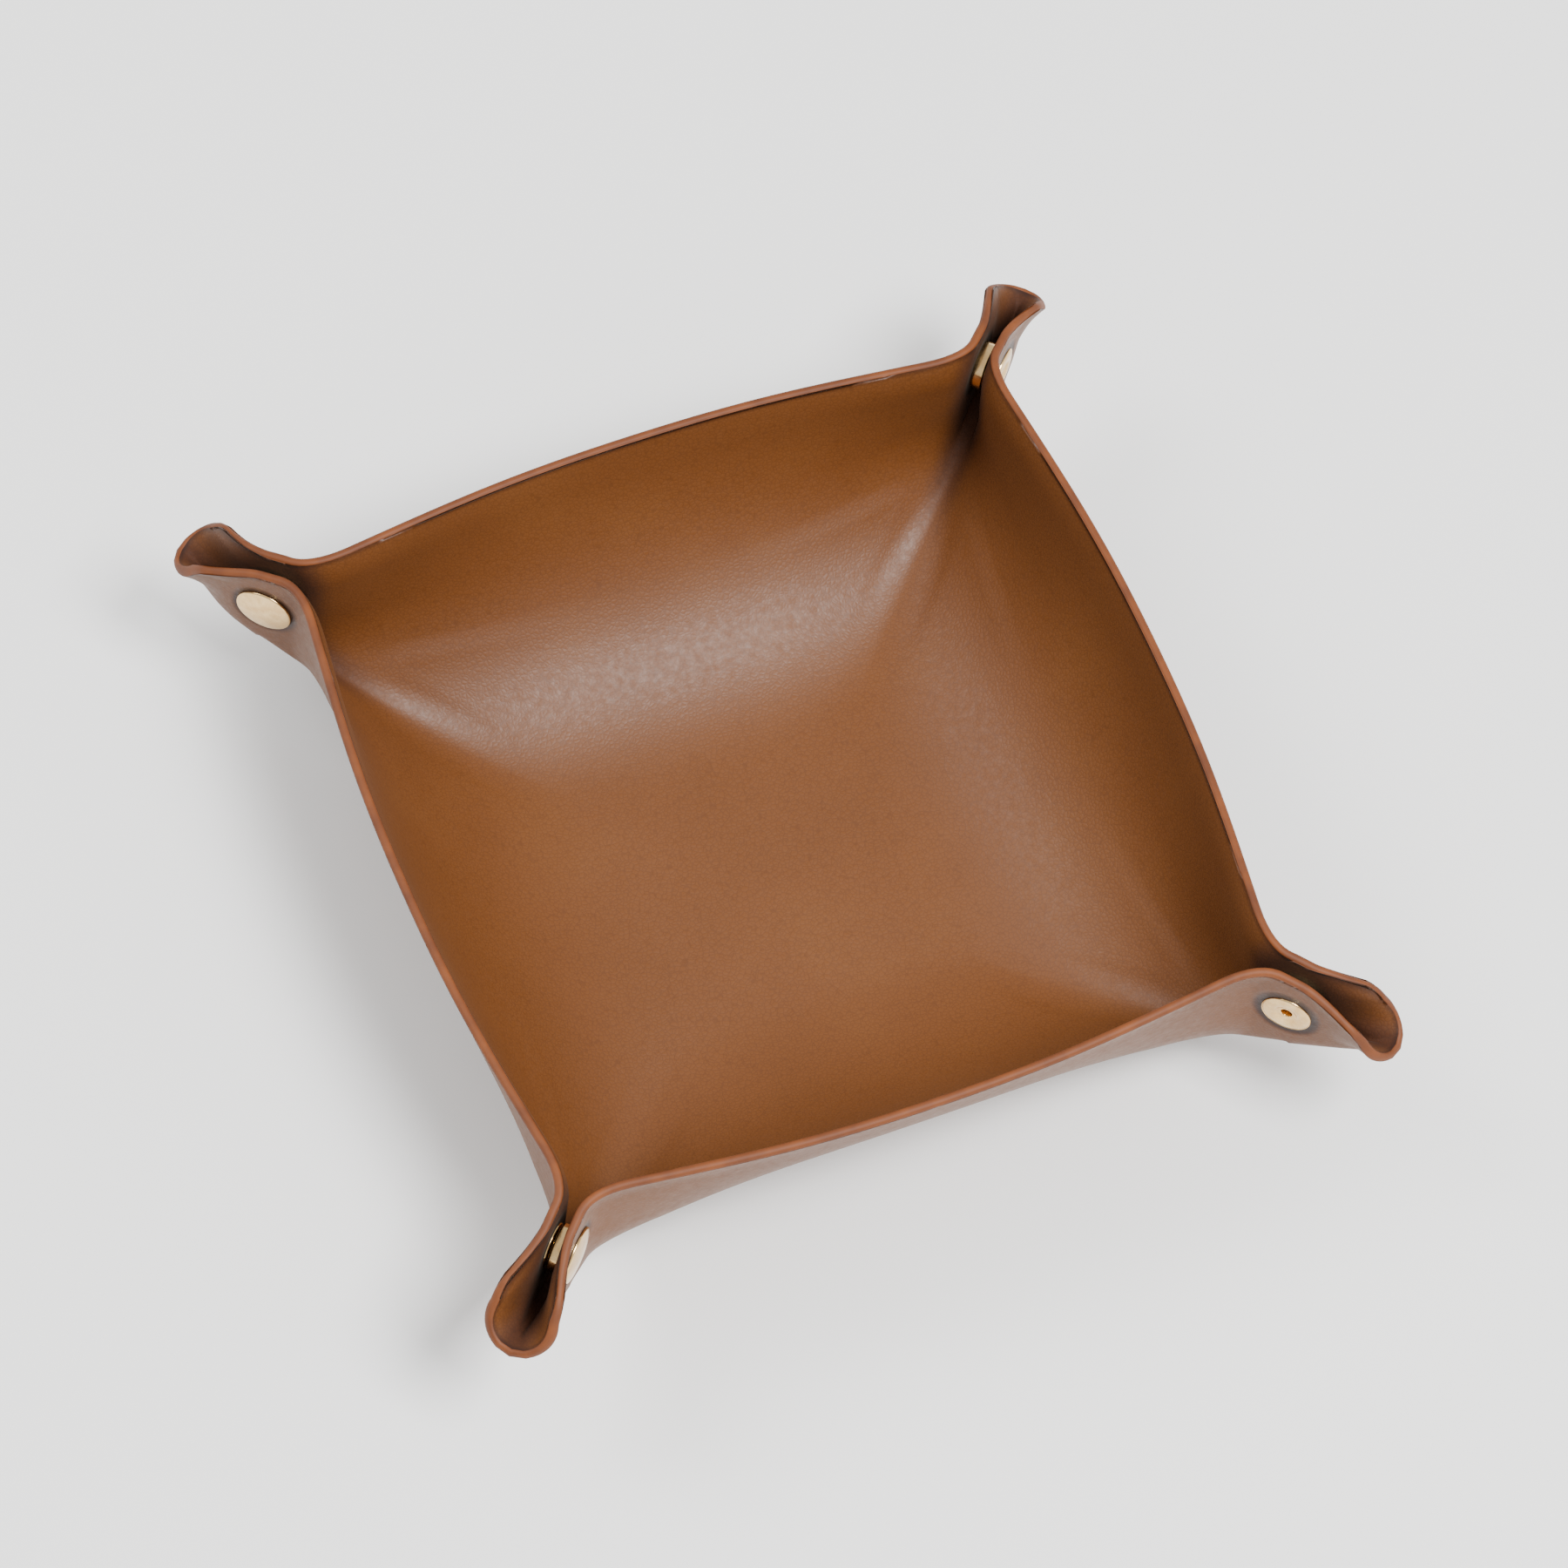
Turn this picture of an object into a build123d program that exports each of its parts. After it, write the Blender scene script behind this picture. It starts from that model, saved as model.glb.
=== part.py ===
from build123d import *
from math import cos, radians, sin, sqrt, tan
import os

# Valet tray: one square leather sheet, pinched into an ear at each corner by a press snap.
# Millimetres, +Z up. The origin is the centre of the base's underside. The front is -Y.

# The sheet as it stands. Across the middle of a side it leaves the floor, turns up on one
# radius and runs on straight to the rim. Its crease, along a diagonal, does so more gently.
leather = 1.9
rim_height = 50.5
wall_flat = 28.0
wall_bend = 55.5
wall_slope = 74.0
crease_flat = 45.0
crease_bend = 121.0
crease_slope = 27.0

# Beside each corner the wall rises from the floor on a quarter ellipse, then leans in a little.
shoulder_flat = 32.2
shoulder_run = 45.0
shoulder_rise = 26.0
shoulder_lean = 3.0

# Each ear: two flaps side by side, which spread towards the sheet's rounded corner.
flap_gap = 3.3
neck_setback = 3.0
ear_start = 122.0
ear_closed = 12.0
ear_rake = 1.0
rake_height = 42.0
ear_length = 50.0
corner_radius = 20.0
rim_dip = 60.0

# Each snap's place on the diagonal plane of its corner, a drop below the rim, and its distance
# from the sheet's edge.
snap_reach = 115.5
snap_drop = 14.0
snap_inset = 12.5
seat_depth = 0.25
seat_margin = 0.2

# Snap cap, with the hollow shank that holds the socket.
cap_radius = 6.25
cap_height = 1.5
cap_wall = 0.45
cap_roll = 0.45
shank_radius = 1.45
shank_bore = 1.05
shank_flare = 2.3
flare_thick = 0.25
hole_margin = 0.15
shank_fit = 0.05

# Socket, the female half, and its split wire ring.
socket_radius = 5.3
socket_depth = 2.85
socket_plate = 0.5
socket_wall = 0.6
socket_edge = 0.5
mouth_fit = 0.27
wire_radius = 0.28
wire_fit = 0.1
wire_gap = 30.0

# Stud, the male half, and the ring-shaped post that holds it.
stud_radius = 5.0
stud_plate = 0.6
neck_radius = 1.95
head_radius = 2.3
head_start = 2.05
head_full = 2.45
stud_height = 2.6
stud_fit = 0.05
post_radius = 5.5
post_rise = 0.85
post_flare = 1.9

overrun = 6.0
same_place = 0.02
halvings = 40
root_two = sqrt(2)
corners = ("back_right", "front_right", "front_left", "back_left")
quarter_turn = 90.0
full_turn = 360.0

# Flat sides of each turned piece, and shares that shape their profiles.
turned_sides = 24
wire_sides = 6
dome_shares = ((0, 1), (0.4, 0.86), (0.72, 0.55), (0.9, 0.25))
ring_shares = ((0.86, 0.5), (0.76, 0.9), (0.6, 1), (0.46, 0.85))
bevel_share = 0.4

# Steps of the sheet's facets: up to the folds, up the folds, along a wall, round the bend into a
# fold and along a fold, as shares.
low_shares = (0, 0.04, 0.13, 0.3, 0.52, 0.76)
high_shares = (0, 0.1, 0.26, 0.42, 0.58, 0.74, 0.88, 1)
wall_shares = (0, 0.14, 0.28, 0.42, 0.56, 0.7, 0.85)
bend_shares = (0, 0.3, 0.6, 1)
fold_shares = (0, 0.16, 0.33, 0.5, 0.67, 0.84, 1)

# Shares that shape the curves: a wall, the bend beside a corner, a fold and its nose.
side_share = 0.4
slant_share = 0.16
bend_share = 0.667
fin_shares = (0.35, 0.65)
ear_lead_shares = (0.55, 0.35)
nose_share = 0.55
round_share = 0.6
lead_share = 1.6


def climb(level, flat, bend, slope):
    """Reach of a profile at a level: flat floor, one bend, then a straight slope."""
    rise = max(level - leather / 2, 0)
    turn = radians(slope)
    bend_rise = bend * (1 - cos(turn))
    if rise < bend_rise:
        return flat + sqrt(2 * bend * rise - rise**2)
    return flat + bend * sin(turn) + (rise - bend_rise) / tan(turn)


def shoulder(level):
    """Reach of the wall beside a corner, on a quarter ellipse and then a straight lean."""
    rise = max(level - leather / 2, 0)
    if rise < shoulder_rise:
        return shoulder_flat + shoulder_run * sqrt(1 - (1 - rise / shoulder_rise) ** 2)
    return shoulder_flat + shoulder_run - (rise - shoulder_rise) * tan(radians(shoulder_lean))


def crease(level):
    """Reach of the fold along a diagonal."""
    return climb(level, crease_flat, crease_bend, crease_slope)


def on_plan(along, away, level):
    """A place along the corner's diagonal and away from it."""
    return Vector((along + away) / root_two, (along - away) / root_two, level)


def along_curve(points, share):
    """A place on the curve that these control points pull."""
    while len(points) > 1:
        points = [a + (b - a) * share for a, b in zip(points, points[1:])]
    return points[0]


def solve(function, low, high):
    """Where a rising function crosses zero."""
    for halving in range(halvings):
        middle = (low + high) / 2
        if function(middle) < 0:
            low = middle
        else:
            high = middle
    return low


half = flap_gap / 2 + leather / 2
slant = Vector(-slant_share, 1, 0)
fold_level = solve(lambda level: crease(level) - root_two * shoulder(level), leather, rim_height)


def neck(level):
    """Reach of the line where a wall has turned into a flap."""
    knee = root_two * shoulder(level) - half
    return knee + min(neck_setback, fin_shares[0] * (crease(level) - knee))


def wall_curves(level):
    """The outline at a level as two curves: from the middle of the side to the bend, and the
    bend, to the flap or, below the folds, to the diagonal."""
    corner = shoulder(level)
    tip = crease(level)
    knee = root_two * corner - half
    lead = root_two * corner - tip
    if level > fold_level:
        knee_place = Vector(corner, corner - root_two * half, level)
        start = knee_place - slant * neck_setback
        bend = on_plan(knee, half, level)
        end = on_plan(neck(level), half, level)
        share = bend_share
    else:
        start = Vector(corner, corner, level) - slant * (neck_setback + lead_share * max(lead, 0))
        bend = on_plan(tip, max(lead, 0), level)
        end = on_plan(tip, 0, level)
        share = round_share
    side = Vector(climb(level, wall_flat, wall_bend, wall_slope), 0, level)
    hand = side_share * start.Y
    wall = (side, side + Vector(0, hand, 0), start - slant * hand, start)
    return wall, (start, start + (bend - start) * share, end + (bend - end) * share, end)


def flap(along, level):
    """Distance of a flap from the diagonal plane."""
    knee = root_two * shoulder(level) - half
    tip = crease(level)
    ear = min(ear_start, knee + fin_shares[1] * (tip - knee))
    ear = ear - ear_rake * max(level - rake_height, 0)
    if along <= ear:
        return half
    reach = tip - ear
    lead = ear_lead_shares[0] - ear_lead_shares[1] * min(reach / ear_length, 1)
    spread = nose_share * half + max(reach - ear_closed, 0)
    nose = (Vector(ear, half), Vector(ear + lead * reach, half), Vector(tip, spread), Vector(tip, 0))
    return along_curve(nose, solve(lambda share: along_curve(nose, share).X - along, 0, 1)).Y


# The trim of one ear, drawn on its diagonal plane. The rim dips on one bend to the sheet's own
# edge, which stands at an eighth turn to the crease and ends in the sheet's rounded corner.
edge_slope = quarter_turn / 2 - crease_slope
along_edge = Vector(cos(radians(edge_slope)), -sin(radians(edge_slope)))
off_edge = Vector(-along_edge.Y, along_edge.X)
along_crease = Vector(cos(radians(crease_slope)), sin(radians(crease_slope)))
off_crease = Vector(along_crease.Y, -along_crease.X)
snap_height = rim_height - snap_drop
over_snap = Vector(snap_reach, snap_height) + off_edge * snap_inset
dip = over_snap - along_edge * ((rim_height - over_snap.Y) / sin(radians(edge_slope)))
dip_run = rim_dip * tan(radians(edge_slope / 2))
crease_rise = leather / 2 + crease_bend * (1 - cos(radians(crease_slope)))
crease_start = Vector(crease_flat + crease_bend * sin(radians(crease_slope)), crease_rise)
edge_run = (over_snap - crease_start).dot(off_crease) / -along_edge.dot(off_crease)
sheet_corner = over_snap + along_edge * edge_run
round_center = sheet_corner - along_crease * (corner_radius * root_two)
round_start = round_center + off_edge * corner_radius
ear_tip = round_center + along_crease * corner_radius


def edge_height(along):
    """Height of the sheet's edge, which runs level, then dips on one bend and runs on straight."""
    past = along - (dip.X - dip_run)
    if past <= 0:
        return rim_height
    if along < dip.X + dip_run * cos(radians(edge_slope)):
        return rim_height - rim_dip + sqrt(rim_dip**2 - past**2)
    return dip.Y - (along - dip.X) * tan(radians(edge_slope))


def wall_grid():
    """Rows of points on an eighth of the sheet, from the floor up to the edge."""
    columns = [(0, share) for share in wall_shares] + [(1, share) for share in bend_shares]
    tops = []
    for curve, share in columns:
        place = along_curve(wall_curves(rim_height)[curve], share)
        tops.append(edge_height((place.X + place.Y) / root_two))
    floor = leather / 2
    rows = []
    for low in low_shares:
        level = floor + (fold_level - floor) * low
        rows.append([along_curve(wall_curves(level)[curve], share) for curve, share in columns])
    for high in high_shares:
        row = []
        for (curve, share), top in zip(columns, tops):
            level = fold_level + (top - fold_level) * high
            row.append(along_curve(wall_curves(level)[curve], share))
        rows.append(row)
    return rows


def fold_grid():
    """Rows of points on a flap, from the crease up to the edge, stretched between the crease,
    the edge, the neck and the sheet's rounded corner."""
    neck_top = edge_height(neck(rim_height))
    edge_start = Vector(neck(neck_top), neck_top)
    rows = []
    for high in high_shares:
        level = fold_level + (neck_top - fold_level) * high
        left = Vector(neck(level) if high else crease(level), level)
        turn = radians(crease_slope + (quarter_turn / 2) * high)
        right = round_center + Vector(cos(turn), sin(turn)) * corner_radius
        row = []
        for fold in fold_shares:
            fold_foot = fold_level + (ear_tip.Y - fold_level) * fold
            low = Vector(crease(fold_foot), fold_foot)
            reach = edge_start.X + (round_start.X - edge_start.X) * fold
            top = Vector(reach, edge_height(reach))
            fold_start = Vector(crease(fold_level), fold_level)
            flat = low * (1 - high) + top * high + left * (1 - fold) + right * fold
            flat -= (fold_start * (1 - fold) + ear_tip * fold) * (1 - high)
            flat -= (edge_start * (1 - fold) + round_start * fold) * high
            away = flap(flat.X, flat.Y) if high else 0
            row.append(on_plan(flat.X, away, flat.Y))
        rows.append(row)
    return rows


def split(grid):
    """Triangles between the rows of a grid."""
    for lower, upper in zip(grid, grid[1:]):
        for a, b, c, d in zip(lower, lower[1:], upper[1:], upper):
            yield (a, b, c)
            yield (a, c, d)


# The middle of the leather as triangles, whole, with one number for each point.
numbers = {}
triangles = []
for triangle in list(split(wall_grid())) + list(split(fold_grid())):
    for mirrored in (False, True):
        for turn in range(len(corners)):
            places = []
            for point in triangle:
                place = Vector(point.Y, point.X, point.Z) if mirrored else point
                place = place.rotate(Axis.Z, quarter_turn * turn)
                key = tuple(round(value / same_place) for value in place)
                places.append(numbers.setdefault(key, (len(numbers), place)))
            if len({number for number, place in places}) == 3:
                triangles.append(places[::-1] if mirrored else places)

# Each face of the leather stands half its thickness off the middle.
normals = [Vector(0, 0, 0)] * len(numbers)
sides = {}
for (i, a), (j, b), (k, c) in triangles:
    across = (b - a).cross(c - a)
    for number in (i, j, k):
        normals[number] += across
    for side in ((i, j), (j, k), (k, i)):
        sides[side] = True
middle = [place for number, place in numbers.values()]
on_floor = [place.Z < leather / 2 + same_place for place in middle]
offs = []
for normal, flat in zip(normals, on_floor):
    offs.append(Vector(0, 0, leather / -2) if flat else normal.normalized() * (leather / 2))
outer = [place + off for place, off in zip(middle, offs)]
inner = [place - off for place, off in zip(middle, offs)]

faces = []
for (i, a), (j, b), (k, c) in triangles:
    faces.append(Face(Wire.make_polygon((outer[i], outer[j], outer[k]))))
    faces.append(Face(Wire.make_polygon((inner[k], inner[j], inner[i]))))
floor_ring = {}
for i, j in sides:
    if (j, i) not in sides and on_floor[i] and on_floor[j]:
        floor_ring[i] = j
    elif (j, i) not in sides:
        faces.append(Face(Wire.make_polygon((outer[j], outer[i], inner[i]))))
        faces.append(Face(Wire.make_polygon((outer[j], inner[i], inner[j]))))
ring = [next(iter(floor_ring))]
while len(ring) < len(floor_ring):
    ring.append(floor_ring[ring[-1]])
faces.append(Face(Wire.make_polygon([outer[number] for number in ring])))
faces.append(Face(Wire.make_polygon([inner[number] for number in ring])))

# Turned pieces. A profile is a closed row of places, each a radius and a height along the axis
# of the first corner's snap, where a positive height is on the side of the flap that opens.
snap_center = Vector(snap_reach / root_two, snap_reach / root_two, snap_height)
snap_axis = Vector(-1, 1, 0).normalized()
snap_side = Vector(1, 1, 0).normalized()


def turned(profile, gap=0):
    """A solid turned from a profile, with flat sides. A gap is an angle left open."""
    steps = []
    for step in range(turned_sides + 1):
        turn = radians(gap / 2 + (full_turn - gap) * step / turned_sides)
        out = Vector(0, 0, cos(turn)) + snap_side * sin(turn)
        steps.append([snap_center + out * radius + snap_axis * height for radius, height in profile])
    sides = []
    for one, two in zip(steps, steps[1:]):
        for index in range(len(profile)):
            places = [one[index - 1], two[index - 1], two[index], one[index]]
            places = [p for p, q in zip(places, places[1:] + places[:1]) if (p - q).length > same_place]
            if len(places) > 2:
                sides.append(Face(Wire.make_polygon(places)))
    if gap:
        sides.append(Face(Wire.make_polygon(steps[0])))
        sides.append(Face(Wire.make_polygon(steps[-1])))
    return Solid(Shell(sides))


outer_seat = flap_gap / 2 + leather - seat_depth
inner_seat = flap_gap / 2 + seat_depth
hole_radius = shank_radius + hole_margin
cap_seat = cap_radius + seat_margin
post_seat = post_radius + seat_margin
disc_seat = socket_radius + seat_margin
with BuildPart() as snap_cut:
    add(turned((
        (0, outer_seat + overrun),
        (cap_seat, outer_seat + overrun),
        (cap_seat, outer_seat),
        (hole_radius, outer_seat),
        (hole_radius, inner_seat),
        (disc_seat, inner_seat),
        (disc_seat, -inner_seat),
        (hole_radius, -inner_seat),
        (hole_radius, -outer_seat),
        (post_seat, -outer_seat),
        (post_seat, -outer_seat - overrun),
        (0, -outer_seat - overrun),
    )))

with BuildPart() as leather_sheet:
    add(Solid(Shell(faces)))
    seats = [snap_cut.part.rotate(Axis.Z, quarter_turn * turn) for turn in range(len(corners))]
    add(seats, mode=Mode.SUBTRACT)

# Cap: a pressed dome with a rolled edge, and a hollow shank whose end is flared in the socket.
socket_plate_face = inner_seat - socket_plate
rolled = cap_radius - 2 * cap_roll
dome = [(cap_radius * out, outer_seat + cap_roll + (cap_height - cap_roll) * up)
        for out, up in dome_shares]
hollow = [(rolled * out, height - cap_wall) for (radius, height), (out, up) in zip(dome, dome_shares)]
with BuildPart() as cap:
    add(turned([
        *dome,
        (cap_radius, outer_seat + cap_roll),
        (cap_radius - cap_roll, outer_seat),
        (rolled, outer_seat + cap_roll / 2),
        *[place for place in reversed(hollow) if place[0] > shank_radius],
        (shank_radius, outer_seat + cap_height - cap_wall),
        (shank_radius, socket_plate_face),
        (shank_flare, socket_plate_face),
        (shank_flare, socket_plate_face - flare_thick),
        (shank_bore, socket_plate_face - flare_thick),
        (shank_bore, outer_seat + cap_height - cap_wall),
        (0, outer_seat + cap_height - cap_wall),
    ]))

# Socket: a shallow cup whose mouth lets the stud's head through, with the wire ring behind it.
mouth = head_radius + mouth_fit
front = inner_seat - socket_depth
wall_inside = socket_radius - socket_wall
with BuildPart() as socket:
    add(turned((
        (shank_radius + shank_fit, inner_seat),
        (socket_radius, inner_seat),
        (socket_radius, front + socket_edge),
        (socket_radius - socket_edge * bevel_share, front + socket_edge * bevel_share),
        (socket_radius - socket_edge, front),
        (mouth, front),
        (mouth, front + socket_plate),
        (wall_inside, front + socket_plate),
        (wall_inside, socket_plate_face),
        (shank_radius + shank_fit, socket_plate_face),
    )))

# Spring: a split wire ring that lies behind the socket's mouth, round the stud's neck.
wire_reach = neck_radius + wire_fit + wire_radius
wire_place = front + socket_plate + wire_radius
wire_turns = [radians(full_turn * side / wire_sides) for side in range(wire_sides)]
with BuildPart() as socket_spring:
    add(turned([
        (wire_reach + wire_radius * cos(turn), wire_place + wire_radius * sin(turn))
        for turn in wire_turns
    ], wire_gap))

# Stud: a plate with a necked, hollow head that snaps past the wire ring.
base = -inner_seat
with BuildPart() as stud:
    add(turned((
        (shank_radius + stud_fit, base),
        (stud_radius, base),
        (stud_radius, base + stud_plate),
        (neck_radius, base + stud_plate),
        (neck_radius, base + head_start),
        (head_radius, base + head_full),
        (post_flare, base + stud_height),
        (shank_radius + stud_fit, base + stud_height),
    )))

# Post: a ring with a dished centre, whose barrel passes the leather and is flared over the stud.
back = -outer_seat
top = base + stud_height
with BuildPart() as post:
    add(turned([
        (post_radius, back),
        *[(post_radius * out, back - post_rise * up) for out, up in ring_shares],
        (shank_bore, back - flare_thick),
        (shank_bore, top + flare_thick),
        (post_flare, top + flare_thick),
        (post_flare, top),
        (shank_radius, top),
        (shank_radius, back),
    ]))

os.makedirs("parts", exist_ok=True)
leather_sheet.part.label = "leather_sheet"
export_step(leather_sheet.part, "parts/leather_sheet.step")
for kind, piece in (
    ("cap", cap),
    ("socket", socket),
    ("socket_spring", socket_spring),
    ("stud", stud),
    ("post", post),
):
    for turn, corner in enumerate(corners):
        placed = piece.part.rotate(Axis.Z, -quarter_turn * turn)
        placed.label = f"{kind}_{corner}"
        export_step(placed, f"parts/{placed.label}.step")
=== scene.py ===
from math import cos, pi, radians, sin, sqrt, tan

import bmesh
import bpy
from mathutils import Matrix, Vector
from mathutils.kdtree import KDTree


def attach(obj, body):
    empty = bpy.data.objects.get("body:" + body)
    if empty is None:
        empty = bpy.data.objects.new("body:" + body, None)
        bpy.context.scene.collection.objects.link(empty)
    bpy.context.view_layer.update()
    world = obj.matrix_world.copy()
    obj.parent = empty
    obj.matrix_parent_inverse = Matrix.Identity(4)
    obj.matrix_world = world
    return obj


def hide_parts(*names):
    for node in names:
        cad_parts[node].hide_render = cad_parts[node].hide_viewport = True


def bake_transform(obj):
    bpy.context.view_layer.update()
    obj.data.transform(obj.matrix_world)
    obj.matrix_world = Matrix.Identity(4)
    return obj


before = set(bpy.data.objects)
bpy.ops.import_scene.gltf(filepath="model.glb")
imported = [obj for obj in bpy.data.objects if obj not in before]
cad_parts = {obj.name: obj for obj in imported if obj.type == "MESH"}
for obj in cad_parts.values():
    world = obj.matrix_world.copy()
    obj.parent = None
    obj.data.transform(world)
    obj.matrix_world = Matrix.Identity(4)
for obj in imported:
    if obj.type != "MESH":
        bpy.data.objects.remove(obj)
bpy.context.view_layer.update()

# Leather sheet: one 228 mm (9 in) square of vegetable-tanned cowhide, 1.9 mm thick, cut with a
# die and finished on both faces. Nothing holds it up but the press snaps, which pinch each
# corner into an outward ear. Sizes are in millimetres and degrees.
leather = 1.9
rim_height = 50.5
root_two = sqrt(2)

# Middle of each side and fold along each diagonal: a flat, a bend and a straight slope.
wall_flat, wall_bend, wall_slope = 28.0, 55.5, 74.0
crease_flat, crease_bend, crease_slope = 45.0, 121.0, 27.0
# Wall beside a corner: a flat, an oval bend, a slight lean inwards and a flare at the rim.
shoulder_flat, shoulder_run, shoulder_rise, shoulder_lean = 32.2, 45.0, 26.0, 3.0
flare_start, rim_flare = 43.0, 2.4
# Bend from a wall into a flap, rounder than the plain solid's as the photographed leather is.
bend_setback, bend_lead, bend_share, round_share = 9.0, 1.6, 0.667, 0.6
neck_setback, neck_flare, neck_share = 3.0, 3.0, 0.35
hand_share, slant_share, slant_inset = 0.4, 1.4, 12.0
# Ear: two flaps that lie side by side and part towards its tip.
flap_gap = 3.3
half_fold = flap_gap / 2 + leather / 2
ear_start, ear_share, ear_closed, ear_length = 122.0, 0.65, 16.0, 50.0
ear_rake, rake_height = 0.8, 42.0
nose_share, long_lead, short_lead = 0.55, 0.55, 0.35
# Edge of the sheet and place of each snap on it.
corner_radius, rim_dip = 20.0, 60.0
snap_reach, snap_height, snap_inset = 115.5, 36.5, 12.5


def climb(level, flat, bend, slope):
    """Reach of a profile at a level: flat floor, one bend, then a straight slope."""
    rise = max(level - leather / 2, 0)
    turn = radians(slope)
    bend_rise = bend * (1 - cos(turn))
    if rise < bend_rise:
        return flat + sqrt(2 * bend * rise - rise**2)
    return flat + bend * sin(turn) + (rise - bend_rise) / tan(turn)


def into_flare(level):
    """How far a level is into the rim's flare, from 0 to 1 at the rim."""
    return max((level - flare_start) / (rim_height - flare_start), 0)


def shoulder(level):
    """Reach of the wall beside a corner."""
    rise = max(level - leather / 2, 0)
    if rise < shoulder_rise:
        return shoulder_flat + shoulder_run * sqrt(1 - (1 - rise / shoulder_rise) ** 2)
    lean = (rise - shoulder_rise) * tan(radians(shoulder_lean))
    return shoulder_flat + shoulder_run - lean + rim_flare * into_flare(level) ** 2


def crease(level):
    """Reach of the fold along a diagonal. The joints' axes lie on its straight part."""
    return climb(level, crease_flat, crease_bend, crease_slope)


def on_plan(along, away, level):
    """A place along a corner's diagonal and away from it."""
    return Vector(((along + away) / root_two, (along - away) / root_two, level))


def diagonal_reach(point):
    """Distance of a point along its own corner's diagonal."""
    return (abs(point.x) + abs(point.y)) / root_two


def along_curve(points, share):
    """A place on the curve that these control points pull."""
    while len(points) > 1:
        points = [a.lerp(b, share) for a, b in zip(points, points[1:])]
    return points[0]


def solve(function, low, high, halvings=40):
    """Where a rising function crosses zero."""
    for halving in range(halvings):
        middle = (low + high) / 2
        if function(middle) < 0:
            low = middle
        else:
            high = middle
    return low


fold_level = solve(lambda level: crease(level) - root_two * shoulder(level), leather, rim_height)


def neck(level):
    """Reach of the line where a wall has turned into a flap."""
    knee = root_two * shoulder(level) - half_fold
    setback = neck_setback + neck_flare * into_flare(level)
    return knee + min(setback, neck_share * (crease(level) - knee))


def wall_curves(level):
    """The outline at a level as two curves: from the middle of a side to the bend, and the bend."""
    corner = shoulder(level)
    tip = crease(level)
    side = Vector((climb(level, wall_flat, wall_bend, wall_slope), 0, level))
    slant = Vector((slant_share * (corner - side.x) / (corner - slant_inset), 1, 0))
    knee = root_two * corner - half_fold
    lead = max(root_two * corner - tip, 0)
    if level > fold_level:
        corner_point = Vector((corner, corner - root_two * half_fold, level))
        start = corner_point - slant * bend_setback
        bend = on_plan(knee, half_fold, level)
        end = on_plan(neck(level), half_fold, level)
        share = bend_share
    else:
        start = Vector((corner, corner, level)) - slant * (bend_setback + bend_lead * lead)
        bend = on_plan(tip, lead, level)
        end = on_plan(tip, 0, level)
        share = round_share
    hand = hand_share * start.y
    return (side, side + Vector((0, hand, 0)), start - slant * hand, start), (
        start, start.lerp(bend, share), end.lerp(bend, share), end)


def flap(along, level):
    """Distance of a flap from the diagonal plane."""
    knee = root_two * shoulder(level) - half_fold
    tip = crease(level)
    ear = min(ear_start, knee + ear_share * (tip - knee))
    ear -= ear_rake * max(level - rake_height, 0)
    if along <= ear:
        return half_fold
    reach = tip - ear
    lead = long_lead - short_lead * min(reach / ear_length, 1)
    spread = nose_share * half_fold + max(reach - ear_closed, 0)
    nose = [Vector(p) for p in (
        (ear, half_fold), (ear + lead * reach, half_fold), (tip, spread), (tip, 0))]
    return along_curve(nose, solve(lambda share: along_curve(nose, share).x - along, 0, 1)).y


# The sheet's edge over an ear, in the diagonal plane: it dips, passes the snap at its inset, and
# ends in the sheet's rounded corner at the ear's tip.
edge_slope = radians(45 - crease_slope)
along_edge = Vector((cos(edge_slope), -sin(edge_slope)))
off_edge = Vector((sin(edge_slope), cos(edge_slope)))
along_crease = Vector((cos(radians(crease_slope)), sin(radians(crease_slope))))
off_crease = Vector((along_crease.y, -along_crease.x))
over_snap = Vector((snap_reach, snap_height)) + off_edge * snap_inset
dip = over_snap - along_edge * ((rim_height - over_snap.y) / sin(edge_slope))
dip_run = rim_dip * tan(edge_slope / 2)
crease_start = Vector((crease_flat + crease_bend * along_crease.y,
                       leather / 2 + crease_bend * (1 - along_crease.x)))
sheet_corner = over_snap + along_edge * (
    (over_snap - crease_start).dot(off_crease) / -along_edge.dot(off_crease))
round_center = sheet_corner - along_crease * (corner_radius * root_two)
round_start = round_center + off_edge * corner_radius
ear_tip = round_center + along_crease * corner_radius


def edge_height(along):
    """Height of the sheet's edge, which runs level, then dips and runs on straight."""
    past = along - (dip.x - dip_run)
    if past <= 0:
        return rim_height
    if along < dip.x + dip_run * cos(edge_slope):
        return rim_height - rim_dip + sqrt(rim_dip**2 - past**2)
    return dip.y - (along - dip.x) * tan(edge_slope)


# Steps of the mesh: up to the folds, closer together near the floor, then up from the folds to
# the edge, along a fold, and along a wall and its bend.
low_steps, high_steps, fold_steps, wall_steps, bend_steps = 16, 24, 32, 26, 8
low_ease, top_rounds = 1.8, 12
low_shares = [(step / low_steps) ** low_ease for step in range(low_steps)]
high_shares = [step / high_steps for step in range(high_steps)] + [0.98, 1]
fold_shares = [step / fold_steps for step in range(fold_steps + 1)]
columns = [(0, step / wall_steps) for step in range(wall_steps)] + [
    (1, step / bend_steps) for step in range(bend_steps + 1)]


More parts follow.
